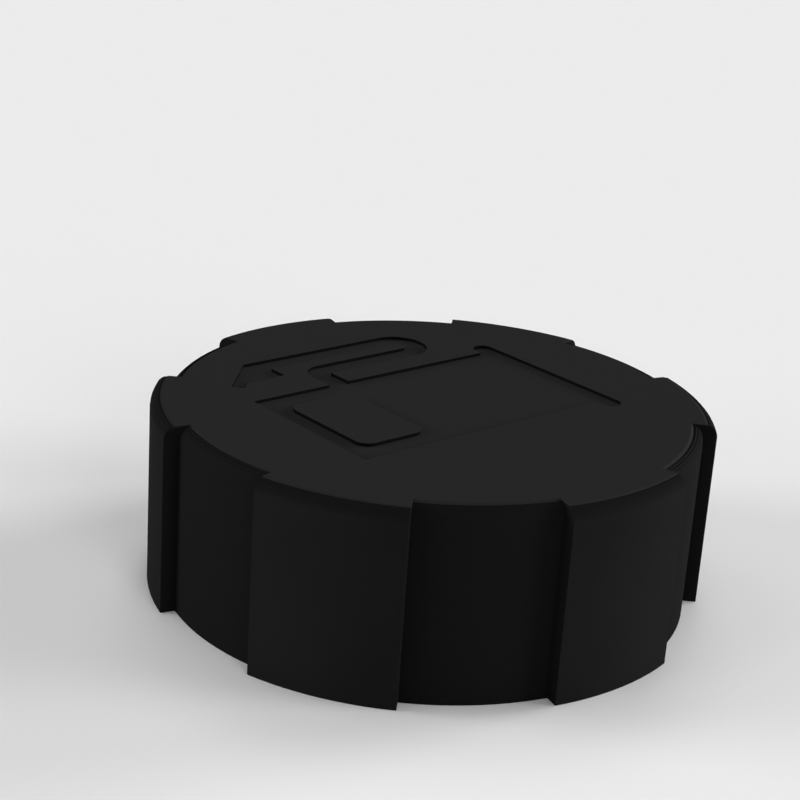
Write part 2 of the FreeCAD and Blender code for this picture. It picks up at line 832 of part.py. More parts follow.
def splash_baffle():
    """Slotted disc on the posts of the closure."""
    piece = Piece("splash_baffle")
    disc = piece.sketch("disc", level="baffle_low")
    circle(disc, "baffle_radius")
    piece.pad(disc, "baffle_wall", "disc")
    hole = piece.sketch("hole", level="baffle_high")
    circle(hole, "post_tip_radius + fit_gap", ("post_circle", "0"))
    holes = piece.pocket(hole, "baffle_wall", "hole")
    piece.around([holes], "screw_count", "holes")
    slot = piece.sketch("slot", level="baffle_high")
    sector(slot, "slot_hole", "slot_rim", "-slot_angle / 2", "slot_angle / 2")
    slots = piece.pocket(slot, "baffle_wall", "slot")
    piece.around([slots], "slot_count", "slots")


def pressure_plate():
    """Guide plate of the pressure valve: spigot below, spring lip above, stem hole and ports."""
    piece = Piece("pressure_plate")
    section = piece.sketch("section", "XZ_Plane")
    outline(
        section,
        ("stem_hole", "seal_high - spigot_height"),
        line(("spigot_radius", "seal_high - spigot_height")),
        line(("spigot_radius", "seal_high")),
        line(("guide_radius", "seal_high")),
        line(("guide_radius", "guide_high + lip_height")),
        line(("lip_hole", "guide_high + lip_height")),
        line(("lip_hole", "guide_high")),
        line(("stem_hole", "guide_high")),
    )
    piece.turn(section)
    port = piece.sketch("port", level="guide_high")
    circle(port, "breather_radius", ("breather_circle", "0"))
    ports = piece.pocket(port, "plate_wall + spigot_height", "port")
    piece.around([ports], "breather_count", "ports")


def pressure_seal():
    """Rubber disc that the pressure plate holds on the seat ridge."""
    ring_piece("pressure_seal", "seal_hole", "seal_radius", "seat_high", "seal_high")


def pressure_spring():
    """Coil spring over the pressure plate."""
    piece = Piece("pressure_spring")
    piece.coil("pressure_radius", "pressure_wire", "guide_high", "spring_high", "pressure_turns")


def spring_cap():
    """Disc snapped into the housing over the spring, with vents and a locating ring."""
    piece = Piece("spring_cap")
    section = piece.sketch("section", "XZ_Plane")
    outline(
        section,
        ("cap_hole", "spring_high"),
        line(("cap_ring_hole", "spring_high")),
        line(("cap_ring_hole", "spring_high - lip_height")),
        line(("cap_ring_radius", "spring_high - lip_height")),
        line(("cap_ring_radius", "spring_high")),
        line(("cap_radius", "spring_high")),
        line(("cap_radius", "cap_high")),
        line(("cap_hole", "cap_high")),
    )
    piece.turn(section)
    vent = piece.sketch("vent", level="cap_high")
    circle(vent, "vent_radius", ("vent_circle", "0"))
    vents = piece.pocket(vent, "cap_wall", "vent")
    piece.around([vents], "vent_count", "vents")


def breather_filter():
    """Foam disc over the vents."""
    piece = Piece("breather_filter")
    disc = piece.sketch("disc", level="cap_high")
    circle(disc, "filter_radius")
    piece.pad(disc, "filter_height", "disc")


def vacuum_valve():
    """Turned valve: disc under the seal, and a stem with a groove for its clip."""
    piece = Piece("vacuum_valve")
    section = piece.sketch("section", "XZ_Plane")
    outline(
        section,
        ("0", "disc_low"),
        line(("disc_radius - keeper_groove", "disc_low")),
        line(("disc_radius", "disc_low + keeper_groove")),
        line(("disc_radius", "seat_high")),
        line(("stem_radius", "seat_high")),
        line(("stem_radius", "keeper_low")),
        line(("keeper_hole", "keeper_low")),
        line(("keeper_hole", "keeper_high")),
        line(("stem_radius", "keeper_high")),
        line(("stem_radius", "stem_high - stem_tip / 2")),
        line(("stem_radius - stem_tip / 2", "stem_high")),
        line(("0", "stem_high")),
    )
    piece.turn(section)


def vacuum_spring():
    """Light coil spring under the clip of the stem."""
    piece = Piece("vacuum_spring")
    piece.coil("vacuum_radius", "vacuum_wire", "guide_high", "keeper_low", "vacuum_turns")


def spring_keeper():
    """Clip pushed sideways into the groove of the stem."""
    piece = Piece("spring_keeper")
    disc = piece.sketch("disc", level="keeper_low")
    circle(disc, "keeper_radius")
    circle(disc, "keeper_hole")
    piece.pad(disc, "keeper_wall", "disc")
    slot = piece.sketch("slot", level="keeper_high")
    reach = "keeper_radius + keeper_wall"
    outline(
        slot,
        ("0", "-keeper_slot / 2"),
        line((reach, "-keeper_slot / 2")),
        line((reach, "keeper_slot / 2")),
        line(("0", "keeper_slot / 2")),
    )
    piece.pocket(slot, "keeper_wall", "slot")


def check():
    """Stop if a feature failed or a piece isn't a sound solid."""
    DOCUMENT.recompute()
    for item in DOCUMENT.Objects:
        faults = {"Invalid", "Error"}.intersection(item.State)
        if faults:
            raise ValueError(f"{item.Name}: {sorted(faults)}")
    for piece in Piece.made:
        shape = piece.body.Shape
        if shape.isNull() or not shape.isValid() or not shape.Solids:
            raise ValueError(f"{piece.body.Label} is not a sound solid")


def export():
    """Write each piece to a file of its own."""
    os.makedirs("parts", exist_ok=True)
    for piece in Piece.made:
        piece.body.Shape.exportStep(f"parts/{piece.body.Label}.step")


for build in (
    grip_shell,
    retaining_ring,
    threaded_closure,
    neck_gasket,
    ratchet_ring,
    slip_washer,
    valve_housing,
    housing_gasket,
    valve_screws,
    splash_baffle,
    pressure_plate,
    pressure_seal,
    pressure_spring,
    spring_cap,
    breather_filter,
    vacuum_valve,
    vacuum_spring,
    spring_keeper,
):
    build()
check()
export()
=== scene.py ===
import json
import logging
import math
from dataclasses import dataclass, field
from enum import Enum
from typing import Any

import bmesh
import bpy
import numpy as np
from mathutils import Matrix, Vector


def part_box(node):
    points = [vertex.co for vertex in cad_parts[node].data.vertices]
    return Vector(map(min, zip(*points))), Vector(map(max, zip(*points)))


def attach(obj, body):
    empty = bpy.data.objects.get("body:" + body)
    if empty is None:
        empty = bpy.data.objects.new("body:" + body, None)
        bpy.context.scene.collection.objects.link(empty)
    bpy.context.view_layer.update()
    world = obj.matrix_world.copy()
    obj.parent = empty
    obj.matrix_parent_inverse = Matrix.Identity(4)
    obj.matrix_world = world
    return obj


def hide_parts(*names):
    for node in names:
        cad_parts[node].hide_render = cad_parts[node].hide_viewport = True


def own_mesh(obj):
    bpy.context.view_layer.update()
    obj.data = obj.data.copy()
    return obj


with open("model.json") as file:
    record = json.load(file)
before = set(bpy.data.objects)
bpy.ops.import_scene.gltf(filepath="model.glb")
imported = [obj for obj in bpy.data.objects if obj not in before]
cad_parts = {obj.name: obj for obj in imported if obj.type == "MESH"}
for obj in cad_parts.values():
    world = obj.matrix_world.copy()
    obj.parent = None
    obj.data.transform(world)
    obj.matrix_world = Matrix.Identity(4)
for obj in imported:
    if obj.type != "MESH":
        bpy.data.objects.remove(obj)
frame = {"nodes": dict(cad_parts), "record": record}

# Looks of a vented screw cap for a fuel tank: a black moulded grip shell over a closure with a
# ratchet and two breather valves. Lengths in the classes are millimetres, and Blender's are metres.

Array = np.ndarray
Tree = bpy.types.NodeTree
Socket = bpy.types.NodeSocket

MM = 0.001
# Most values of a noise texture lie in this range.
NOISE_SPAN = {"From Min": 0.3, "From Max": 0.7}
# The facets of a round form meet at less than this angle.
ROUND_FORM_DEG = 50.0
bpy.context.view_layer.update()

log = logging.getLogger("fuel filler cap")


class Grain(Enum):
    """How a moulding tool's surface was made, which sets the relief that it leaves on plastic."""

    SPARKED = "spark eroded"
    BLASTED = "bead blasted"
    POLISHED = "draw polished"


class Turning(Enum):
    """Which way the marks of a tool run on metal."""

    AROUND = "turned about the axis"
    ALONG = "rolled in one direction"


def linear(code: str) -> tuple[float, float, float, float]:
    """Turns an sRGB hex code into the linear colour that a shader takes.

    The curve is the sRGB standard's: a straight start, and then a power with an offset.

    Args:
        code: six hex digits, two for each of red, green and blue.

    Returns:
        Linear red, green and blue, and an alpha of one.
    """
    channels = [int(code[start:start + 2], 16) / 255 for start in (0, 2, 4)]
    red, green, blue = (c / 12.92 if c <= 0.04045 else ((c + 0.055) / 1.055) ** 2.4 for c in channels)
    return red, green, blue, 1.0


def add_node(
    tree: Tree,
    kind: str,
    settings: dict[str, Any] | None = None,
    inputs: dict[str | int, Any] | None = None,
) -> bpy.types.Node:
    """Adds one shader node.

    Args:
        tree: the node tree that it goes into.
        kind: the node's type, such as ShaderNodeBump.
        settings: properties of the node by name.
        inputs: its inputs by name or place, each a plain value or the socket to link from.

    Returns:
        The new node.
    """
    made = tree.nodes.new(kind)
    for name, setting in (settings or {}).items():
        setattr(made, name, setting)
    for name, given in (inputs or {}).items():
        if isinstance(given, bpy.types.NodeSocket):
            tree.links.new(given, made.inputs[name])
        else:
            made.inputs[name].default_value = given
    return made


def empty_material(name: str) -> tuple[bpy.types.Material, Tree]:
    """Makes a material with no nodes.

    Args:
        name: the material's name.

    Returns:
        The material and its node tree.
    """
    material = bpy.data.materials.new(name)
    material.use_nodes = True
    material.node_tree.nodes.clear()
    return material, material.node_tree


def add_surface(tree: Tree, inputs: dict[str, Any]) -> None:
    """Ends a material with a Principled shader.

    Args:
        tree: the material's node tree.
        inputs: the shader's inputs by name, each a plain value or the socket to link from.
    """
    shader = add_node(tree, "ShaderNodeBsdfPrincipled", inputs=inputs)
    add_node(tree, "ShaderNodeOutputMaterial", inputs={"Surface": shader.outputs["BSDF"]})


@dataclass(frozen=True)
class MouldedPlastic:
    """Injection-moulded thermoplastic: an even body colour, matt where the tool was textured.

    To the eye it is a soft, nearly shineless surface with a little cloudiness from the flow of the
    melt. The grain of the tool is finer than a render from a step away shows, so it is drawn as
    coarse as it needs to be seen close by, and stays faint.
    """

    name: str
    dark: str
    light: str
    roughness: float
    specular: float
    grain: Grain
    ior: float = 1.49
    flow_mm: float = 14.0
    gloss_spread: float = 0.03

    def relief(self) -> tuple[float, float]:
        """Looks up the grain that the tool leaves.

        Returns:
            Its width and depth in millimetres.
        """
        return {
            Grain.SPARKED: (0.35, 0.008),
            Grain.BLASTED: (0.22, 0.005),
            Grain.POLISHED: (0.8, 0.002),
        }[self.grain]

    def colour(self, tree: Tree, place: Socket, share: Socket) -> Socket:
        """Mixes the body colour from its darker and lighter tones.

        Args:
            tree: the material's node tree.
            place: the place of a point on the piece; not used here.
            share: share of the lighter tone, which the flow of the melt gives.

        Returns:
            The socket of the colour.
        """
        tones = {0: share, 6: linear(self.dark), 7: linear(self.light)}
        return add_node(tree, "ShaderNodeMix", {"data_type": "RGBA"}, tones).outputs[2]

    def make(self) -> bpy.types.Material:
        """Builds the material on Object coordinates.

        Returns:
            The new material.
        """
        material, tree = empty_material(self.name)
        place = add_node(tree, "ShaderNodeTexCoord").outputs["Object"]
        width, depth = self.relief()
        pattern = {"Vector": place, "Scale": 1 / (self.flow_mm * MM), "Detail": 3.0}
        flow = add_node(tree, "ShaderNodeTexNoise", inputs=pattern).outputs["Fac"]
        share = add_node(tree, "ShaderNodeMapRange", inputs={"Value": flow, **NOISE_SPAN}).outputs["Result"]
        pattern = {"Vector": place, "Scale": 1 / (width * MM), "Detail": 2.0}
        grain = add_node(tree, "ShaderNodeTexNoise", inputs=pattern).outputs["Fac"]
        bump = add_node(tree, "ShaderNodeBump", inputs={"Height": grain, "Distance": depth * MM})
        low, high = self.roughness - self.gloss_spread, self.roughness + self.gloss_spread
        rough = add_node(tree, "ShaderNodeMapRange", inputs={"Value": share, "To Min": low, "To Max": high})
        add_surface(tree, {
            "Base Color": self.colour(tree, place, share),
            "Roughness": rough.outputs["Result"],
            "Normal": bump.outputs["Normal"],
            "IOR": self.ior,
            "Specular IOR Level": self.specular,
        })
        return material


@dataclass(frozen=True, kw_only=True)
class PaintedLightShadePlastic(MouldedPlastic):
    """Black spark-eroded polypropylene, with light and shade painted into its colour by place.

    The top, the floor of its engraving and the first step of the rounded edge take a lighter tone,
    which is painted light, and the lobes keep the body's tone. The walls between the lobes and the
    rounded edge take a darker tone, which is painted shade, and the narrow walls of the engraving
    take the darkest, painted shade too.
    """

    # Painted light of the top, painted shade of the walls between the lobes and of the rounded edge, and the
    # darkest painted shade of the engraving's walls.
    painted_top_light: str = "252525"
    painted_wall_shade: str = "141414"
    painted_engraving_shade: str = "0c0c0c"
    top_mm: float
    rounding_mm: float
    engraving_mm: float
    inner_mm: float
    recess_mm: float
    lobe_mm: float
    margin_mm: float = 0.3
    # How far the top's painted light reaches down the rounded edge: rim_depth_mm near its start, and
    # lobe_rim_depth_mm beyond rim_width_mm and on the lobes.
    rim_width_mm: float = 0.52
    rim_blend_mm: float = 0.1
    rim_depth_mm: float = 0.25
    lobe_rim_depth_mm: float = 0.12
    engraving_reach: float = 1.5
    edge_depth_mm: float = 0.015
    floor_slack_mm: float = 0.02

    def colour(self, tree: Tree, place: Socket, share: Socket) -> Socket:
        """Paints light and shade into the colour by the radius and the level of a point.

        Between the radius of the walls and that of the lobes the tone goes over from the walls' painted
        shade to the lobes' own, and it turns to the painted shade again as the edge starts to round. It
        is the top's painted light down to a limit that is less deep on the lobes, and on the floor of the
        engraving. Between its floor and the top, the engraving has its own, darkest painted shade.

        Args:
            tree: the material's node tree.
            place: the place of a point on the piece.
            share: share of the lighter tone of the lobes.

        Returns:
            The socket of the colour.
        """
        split = add_node(tree, "ShaderNodeSeparateXYZ", inputs={0: place})
        flat = add_node(tree, "ShaderNodeCombineXYZ", inputs={0: split.outputs[0], 1: split.outputs[1]})
        length = add_node(tree, "ShaderNodeVectorMath", {"operation": "LENGTH"}, {0: flat.outputs[0]})
        radius, level = length.outputs["Value"], split.outputs[2]

        start, end = self.recess_mm + self.margin_mm, self.lobe_mm - self.margin_mm
        span = {"From Min": start * MM, "From Max": end * MM}
        lobe = add_node(tree, "ShaderNodeMapRange", inputs={"Value": radius, **span})
        start, end = self.top_mm - self.rounding_mm, self.top_mm - self.rounding_mm / 2
        span = {"From Min": start * MM, "From Max": end * MM}
        edge = add_node(tree, "ShaderNodeMapRange", inputs={"Value": level, **span})
        rim_end = self.recess_mm - self.rounding_mm + self.rim_width_mm
        limits = {
            "From Min": (rim_end - self.rim_blend_mm) * MM,
            "From Max": (rim_end + self.rim_blend_mm) * MM,
            "To Min": (self.top_mm - self.rim_depth_mm) * MM,
            "To Max": (self.top_mm - self.lobe_rim_depth_mm) * MM,
        }
        limit = add_node(tree, "ShaderNodeMapRange", inputs={"Value": radius, **limits}).outputs["Result"]
        upper = add_node(tree, "ShaderNodeMath", {"operation": "GREATER_THAN"}, {0: level, 1: limit})

        inside = add_node(
            tree, "ShaderNodeMath", {"operation": "LESS_THAN"}, {0: radius, 1: self.inner_mm * MM},
        ).outputs[0]
        high, low = self.edge_depth_mm, self.engraving_reach * self.engraving_mm
        span = {1: (self.top_mm - (low + high) / 2) * MM, 2: (low - high) / 2 * MM}
        band = add_node(tree, "ShaderNodeMath", {"operation": "COMPARE"}, {0: level, **span})
        sign = add_node(tree, "ShaderNodeMath", {"operation": "MULTIPLY"}, {0: inside, 1: band.outputs[0]})
        span = {1: (self.top_mm - self.engraving_mm) * MM, 2: self.floor_slack_mm * MM}
        floor = add_node(tree, "ShaderNodeMath", {"operation": "COMPARE"}, {0: level, **span})
        sunk = add_node(tree, "ShaderNodeMath", {"operation": "MULTIPLY"}, {0: inside, 1: floor.outputs[0]})

        # wall holds the painted shade of the walls and the rounded edge, and top the painted light of the
        # top.
        wall, top = linear(self.painted_wall_shade), linear(self.painted_top_light)
        mixed = wall
        # In order: the lobes' own tone, painted shade on the rounded edge, painted light on the top and the
        # rim's first step, painted shade on the engraving's walls, painted light on its floor.
        covers = (
            (lobe, super().colour(tree, place, share)),
            (edge, wall),
            (upper, top),
            (sign, linear(self.painted_engraving_shade)),
            (sunk, top),
        )
        for cover, tone in covers:
            tones = {0: cover.outputs[0], 6: mixed, 7: tone}
            mixed = add_node(tree, "ShaderNodeMix", {"data_type": "RGBA"}, tones).outputs[2]
        return mixed


@dataclass(frozen=True)
class PressedRubber:
    """Nitrile rubber pressed in a mould: dull black with a faint grey bloom that lies in patches."""

    name: str
    dark: str = "141414"
    light: str = "262524"
    roughness: float = 0.82
    bloom_mm: float = 5.0
    grain_mm: float = 0.3
    grain_depth_mm: float = 0.012
    gloss_spread: float = 0.06

    def make(self) -> bpy.types.Material:
        """Builds the material on Object coordinates.

        Returns:
            The new material.
        """
        material, tree = empty_material(self.name)
        place = add_node(tree, "ShaderNodeTexCoord").outputs["Object"]
        pattern = {"Vector": place, "Scale": 1 / (self.bloom_mm * MM), "Detail": 5.0}
        bloom = add_node(tree, "ShaderNodeTexNoise", inputs=pattern).outputs["Fac"]
        share = add_node(tree, "ShaderNodeMapRange", inputs={"Value": bloom, **NOISE_SPAN}).outputs["Result"]
        pattern = {"Vector": place, "Scale": 1 / (self.grain_mm * MM), "Detail": 3.0}
        grain = add_node(tree, "ShaderNodeTexNoise", inputs=pattern).outputs["Fac"]
        relief = {"Height": grain, "Distance": self.grain_depth_mm * MM}
        bump = add_node(tree, "ShaderNodeBump", inputs=relief)
        low, high = self.roughness - self.gloss_spread, self.roughness + self.gloss_spread
        rough = add_node(tree, "ShaderNodeMapRange", inputs={"Value": share, "To Min": low, "To Max": high})
        tones = {0: share, 6: linear(self.dark), 7: linear(self.light)}
        colour = add_node(tree, "ShaderNodeMix", {"data_type": "RGBA"}, tones)
        add_surface(tree, {
            "Base Color": colour.outputs[2],
            "Roughness": rough.outputs["Result"],
            "Normal": bump.outputs["Normal"],
        })
        return material


@dataclass(frozen=True)
class ToolMarkedMetal:
    """Metal that a tool has marked: turned brass, or rolled and zinc-plated sheet and screws.

    Fine lines run round the axis where it was turned, and in one direction where it was rolled, and
    they spread the highlight across them.
    """

    name: str
    dark: str
    light: str
    roughness: float
    marks: Turning
    line_mm: float = 0.16
    line_depth_mm: float = 0.003
    patch_mm: float = 4.0
    gloss_spread: float = 0.05

    def make(self) -> bpy.types.Material:
        """Builds the material on Object coordinates.

        Returns:
            The new material.
        """
        material, tree = empty_material(self.name)
        place = add_node(tree, "ShaderNodeTexCoord").outputs["Object"]
        split = add_node(tree, "ShaderNodeSeparateXYZ", inputs={0: place})
        if self.marks is Turning.AROUND:
            flat = add_node(tree, "ShaderNodeCombineXYZ", inputs={0: split.outputs[0], 1: split.outputs[1]})
            length = add_node(tree, "ShaderNodeVectorMath", {"operation": "LENGTH"}, {0: flat.outputs[0]})
            across = length.outputs["Value"]
        else:
            across = split.outputs[1]
        step = add_node(tree, "ShaderNodeMath", {"operation": "ADD"}, {0: across, 1: split.outputs[2]})
        pattern = {"W": step.outputs[0], "Scale": 1 / (self.line_mm * MM), "Detail": 2.0}
        lines = add_node(tree, "ShaderNodeTexNoise", {"noise_dimensions": "1D"}, pattern).outputs["Fac"]
        bump = add_node(tree, "ShaderNodeBump", inputs={"Height": lines, "Distance": self.line_depth_mm * MM})
        low, high = self.roughness - self.gloss_spread, self.roughness + self.gloss_spread
        span = {**NOISE_SPAN, "To Min": low, "To Max": high}
        rough = add_node(tree, "ShaderNodeMapRange", inputs={"Value": lines, **span})
        pattern = {"Vector": place, "Scale": 1 / (self.patch_mm * MM), "Detail": 4.0}
        patch = add_node(tree, "ShaderNodeTexNoise", inputs=pattern).outputs["Fac"]
        share = add_node(tree, "ShaderNodeMapRange", inputs={"Value": patch, **NOISE_SPAN}).outputs["Result"]
        tones = {0: share, 6: linear(self.dark), 7: linear(self.light)}
        colour = add_node(tree, "ShaderNodeMix", {"data_type": "RGBA"}, tones)
        add_surface(tree, {
            "Base Color": colour.outputs[2],
            "Metallic": 1.0,
            "Roughness": rough.outputs["Result"],
            "Normal": bump.outputs["Normal"],
        })
        return material


@dataclass(frozen=True)
class DrawnWire:
    """Stainless spring wire: bright, with fine lines along it from the die that it was drawn through.

    The lines follow the piece's own UV map, whose first axis runs along the wire in millimetres and
    whose second runs once round it.
    """

    name: str
    dark: str = "8d8c88"
    light: str = "b7b6b1"
    roughness: float = 0.26
    lines_around: float = 26.0
    line_length_mm: float = 6.0
    line_depth_mm: float = 0.004

    def make(self) -> bpy.types.Material:
        """Builds the material on the UV map of the wire.

        Returns:
            The new material.
        """
        material, tree = empty_material(self.name)
        place = add_node(tree, "ShaderNodeTexCoord").outputs["UV"]
        split = add_node(tree, "ShaderNodeSeparateXYZ", inputs={0: place})
        turn = add_node(tree, "ShaderNodeMath", {"operation": "MULTIPLY"}, {0: split.outputs[1], 1: math.tau})
        sine = add_node(tree, "ShaderNodeMath", {"operation": "SINE"}, {0: turn.outputs[0]})
        cosine = add_node(tree, "ShaderNodeMath", {"operation": "COSINE"}, {0: turn.outputs[0]})
        share = {0: split.outputs[0], 1: self.line_length_mm}
        along = add_node(tree, "ShaderNodeMath", {"operation": "DIVIDE"}, share)
        round_wire = {0: sine.outputs[0], 1: cosine.outputs[0], 2: along.outputs[0]}
        wrapped = add_node(tree, "ShaderNodeCombineXYZ", inputs=round_wire)
        pattern = {"Vector": wrapped.outputs[0], "Scale": self.lines_around / math.tau, "Detail": 2.0}
        lines = add_node(tree, "ShaderNodeTexNoise", inputs=pattern).outputs["Fac"]
        bump = add_node(tree, "ShaderNodeBump", inputs={"Height": lines, "Distance": self.line_depth_mm * MM})
        share = add_node(tree, "ShaderNodeMapRange", inputs={"Value": lines, **NOISE_SPAN})
        tones = {0: share.outputs["Result"], 6: linear(self.dark), 7: linear(self.light)}
        colour = add_node(tree, "ShaderNodeMix", {"data_type": "RGBA"}, tones)
        add_surface(tree, {
            "Base Color": colour.outputs[2],
            "Metallic": 1.0,
            "Roughness": self.roughness,
            "Normal": bump.outputs["Normal"],
        })
        return material


@dataclass(frozen=True)
class OpenCellFoam:
    """Open-cell polyurethane foam: grey, matt and full of small round pores, with painted shade on their
    floors.
    """

    name: str
    # Painted shade at the floors of the pores, and the grey of the foam's cell walls.
    painted_pore_shade: str = "3a3b3d"
    wall: str = "8a8b8c"
    pore_mm: float = 0.55
    pore_depth_mm: float = 0.18
    wall_share: float = 0.3
    roughness: float = 0.95

    def make(self) -> bpy.types.Material:
        """Builds the material on Object coordinates.

        Returns:
            The new material.
        """
        material, tree = empty_material(self.name)
        place = add_node(tree, "ShaderNodeTexCoord").outputs["Object"]
        pattern = {"Vector": place, "Scale": 1 / (self.pore_mm * MM)}
        cells = add_node(tree, "ShaderNodeTexVoronoi", {"feature": "DISTANCE_TO_EDGE"}, pattern)
        share = cells.outputs["Distance"]
        span = {"Value": share, "From Max": self.wall_share, "To Min": 1.0, "To Max": 0.0}
        depth = add_node(tree, "ShaderNodeMapRange", inputs=span).outputs["Result"]
        bump = add_node(tree, "ShaderNodeBump", inputs={"Height": depth, "Distance": self.pore_depth_mm * MM})
        # The depth of a pore also darkens its colour towards the painted shade of its floor.
        tones = {0: depth, 6: linear(self.painted_pore_shade), 7: linear(self.wall)}
        colour = add_node(tree, "ShaderNodeMix", {"data_type": "RGBA"}, tones)
        add_surface(tree, {
            "Base Color": colour.outputs[2],
            "Roughness": self.roughness,
            "Normal": bump.outputs["Normal"],
        })
        return material


def grid_faces(rows: int, columns: int) -> Array:
    """Quads of a grid of points whose columns close on themselves.

    Args:
        rows: number of rows of points.
        columns: number of points in a row.

    Returns:
        One row of four point numbers for each quad.
    """
    row, column = np.meshgrid(np.arange(rows - 1), np.arange(columns), indexing="ij")
    following = (column + 1) % columns
    here, above = row * columns, (row + 1) * columns
    corners = (here + column, here + following, above + following, above + column)
    return np.stack(corners, axis=-1).reshape(-1, 4)


def tube_mesh(name: str, points: Array, lengths_mm: Array) -> bpy.types.Mesh:
    """Makes a closed mesh from a grid of points: rows along a path, columns round its section.

    Args:
        name: name of the mesh.
        points: array of rows by columns by three, in metres.
        lengths_mm: how far along the path each row lies.

    Returns:
        The mesh, with flat ends, outward faces and a UV map of length along and share round.
    """
    rows, columns, _ = points.shape
    sides = grid_faces(rows, columns)
    first = np.arange(columns)[::-1]
    last = np.arange(columns) + (rows - 1) * columns
    mesh = bpy.data.meshes.new(name)
    mesh.from_pydata(points.reshape(-1, 3).tolist(), [], [*sides.tolist(), first.tolist(), last.tolist()])
    around = np.arange(columns + 1) / columns
    row, column = np.meshgrid(np.arange(rows - 1), np.arange(columns), indexing="ij")
    steps = [(row, column), (row, column + 1), (row + 1, column + 1), (row + 1, column)]
    corners = [np.stack([lengths_mm[r], around[c]], axis=-1) for r, c in steps]
    side_uv = np.stack(corners, axis=-2).reshape(-1, 2)
    end_uv = np.concatenate([
        np.stack([np.full(columns, lengths_mm[0]), around[first]], axis=-1),
        np.stack([np.full(columns, lengths_mm[-1]), around[:columns]], axis=-1),
    ])
    layer = mesh.uv_layers.new(name="wire")
    layer.data.foreach_set("uv", np.concatenate([side_uv, end_uv]).astype(np.float32).ravel())
    return mesh


def smooth_step(share: Array) -> Array:
    """Eases a share from nothing to one: three times its square less twice its cube."""
    return share * share * (3 - 2 * share)


def outward(mesh: bpy.types.Mesh) -> None:
    """Turns the faces of a closed mesh outwards.

    Args:
        mesh: the mesh, which is changed in place.
    """
    work = bmesh.new()
    work.from_mesh(mesh)
    bmesh.ops.recalc_face_normals(work, faces=work.faces)
    work.to_mesh(mesh)
    work.free()


def add_piece(
    mesh: bpy.types.Mesh,
    material: bpy.types.Material,
    body: str,
    sharp_deg: float,
) -> bpy.types.Object:
    """Puts a mesh in the scene as a piece that rides on a body.

    Args:
        mesh: the piece's mesh, in the frame of the cap.
        material: its finish.
        body: the body that it rides on.
        sharp_deg: edges that turn by more than this angle stay crisp.

    Returns:
        The new object, which has the mesh's name.
    """
    mesh.materials.clear()
    mesh.materials.append(material)
    mesh.polygons.foreach_set("use_smooth", np.ones(len(mesh.polygons), bool))
    mesh.set_sharp_from_angle(angle=math.radians(sharp_deg))
    piece = bpy.data.objects.new(mesh.name, mesh)
    bpy.context.scene.collection.objects.link(piece)
    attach(piece, body)
    return piece


def dress(material: bpy.types.Material, *nodes: str) -> None:
    """Gives nodes of the frame their finish.

    Args:
        material: the finish, which takes the place of the nodes' own.
        nodes: the names of the nodes.
    """
    for node in nodes:
        slots = frame["nodes"][node].material_slots
        if not slots:
            frame["nodes"][node].data.materials.append(material)
        for place in slots:
            place.material = material
        log.info("%s finished in %s", node, material.name)


@dataclass
class SoftenedPart:
    """A moulded part of the frame with the small radius that its tool leaves on the edges."""

    node: str
    body: str
    slot: str
    radius_mm: float = 0.15
    segments: int = 2
    sharp_deg: float = 10.0
    rounded_deg: float = 40.0
    weld_mm: float = 0.0002
    flat_deg: float = 0.2

    def prepare(self, work: bmesh.types.BMesh) -> None:
        """Cuts what a kind of part needs into its merged mesh. A plain part needs nothing."""

    def sink(self, points: Array) -> Array:
        """Moves the points that prepare has cut, in millimetres. A plain part moves none."""
        return points

    def rounded(self, middles: Array, runs: Array) -> Array:
        """Share of the radius that edges get, by their middles and directions. A plain part's get all."""
        return np.ones(len(middles))

    def merged(self) -> bpy.types.Mesh:
        """Copies the node's mesh, joins its loose triangles, and takes the lines off its flat faces.

        Returns:
            The merged mesh, with what prepare cuts and sink moves.
        """
        mesh = frame["nodes"][self.node].data.copy()
        mesh.name = f"{self.node}_moulding"
        if "custom_normal" in mesh.attributes:
            mesh.attributes.remove(mesh.attributes["custom_normal"])
        work = bmesh.new()
        work.from_mesh(mesh)
        bmesh.ops.remove_doubles(work, verts=work.verts, dist=self.weld_mm * MM)
        bmesh.ops.dissolve_limit(
            work,
            angle_limit=math.radians(self.flat_deg),
            verts=work.verts,
            edges=work.edges,
            use_dissolve_boundaries=False,
        )
        self.prepare(work)
        work.to_mesh(mesh)
        work.free()
        points = np.empty(3 * len(mesh.vertices))
        mesh.vertices.foreach_get("co", points)
        mesh.vertices.foreach_set("co", (self.sink(points.reshape(-1, 3) / MM) * MM).ravel())
        mesh.update()
        return mesh

    def weigh(self, mesh: bpy.types.Mesh) -> int:
        """Marks the edges to be rounded, which are those that turn by more than the angle for it.

        The angle of an edge is the angle between the normals of its two faces.

        Args:
            mesh: the merged mesh, which gets a weight for each edge.

        Returns:
            How many edges are rounded.
        """
        work = bmesh.new()
        work.from_mesh(mesh)
        angles = np.array([edge.calc_face_angle(0.0) for edge in work.edges])
        ends = np.array([(edge.verts[0].co, edge.verts[1].co) for edge in work.edges]) / MM
        work.free()
        runs = ends[:, 1] - ends[:, 0]
        runs /= np.linalg.norm(runs, axis=1, keepdims=True)
        weights = (angles > math.radians(self.rounded_deg)) * self.rounded(ends.mean(axis=1), runs)
        layer = mesh.attributes.new("bevel_weight_edge", "FLOAT", "EDGE")
        layer.data.foreach_set("value", weights.astype(np.float32))
        return int(np.count_nonzero(weights))

    def build(self, material: bpy.types.Material) -> bpy.types.Object:
        """Builds the softened piece, which stands for its node.

        Args:
            material: its finish.

        Returns:
            The new object.
        """
        mesh = self.merged()
        count = self.weigh(mesh)
        piece = add_piece(mesh, material, self.body, self.sharp_deg)
        bevel = piece.modifiers.new("tool_radius", "BEVEL")
        bevel.limit_method = "WEIGHT"
        bevel.width = self.radius_mm * MM
        bevel.segments = self.segments
        bevel.use_clamp_overlap = False
        bevel.miter_outer = "MITER_ARC"
        level = piece.modifiers.new("flat_faces", "WEIGHTED_NORMAL")
        level.keep_sharp = True
        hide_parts(self.node)
        log.info("%s softened along %d edges", piece.name, count)
        return piece


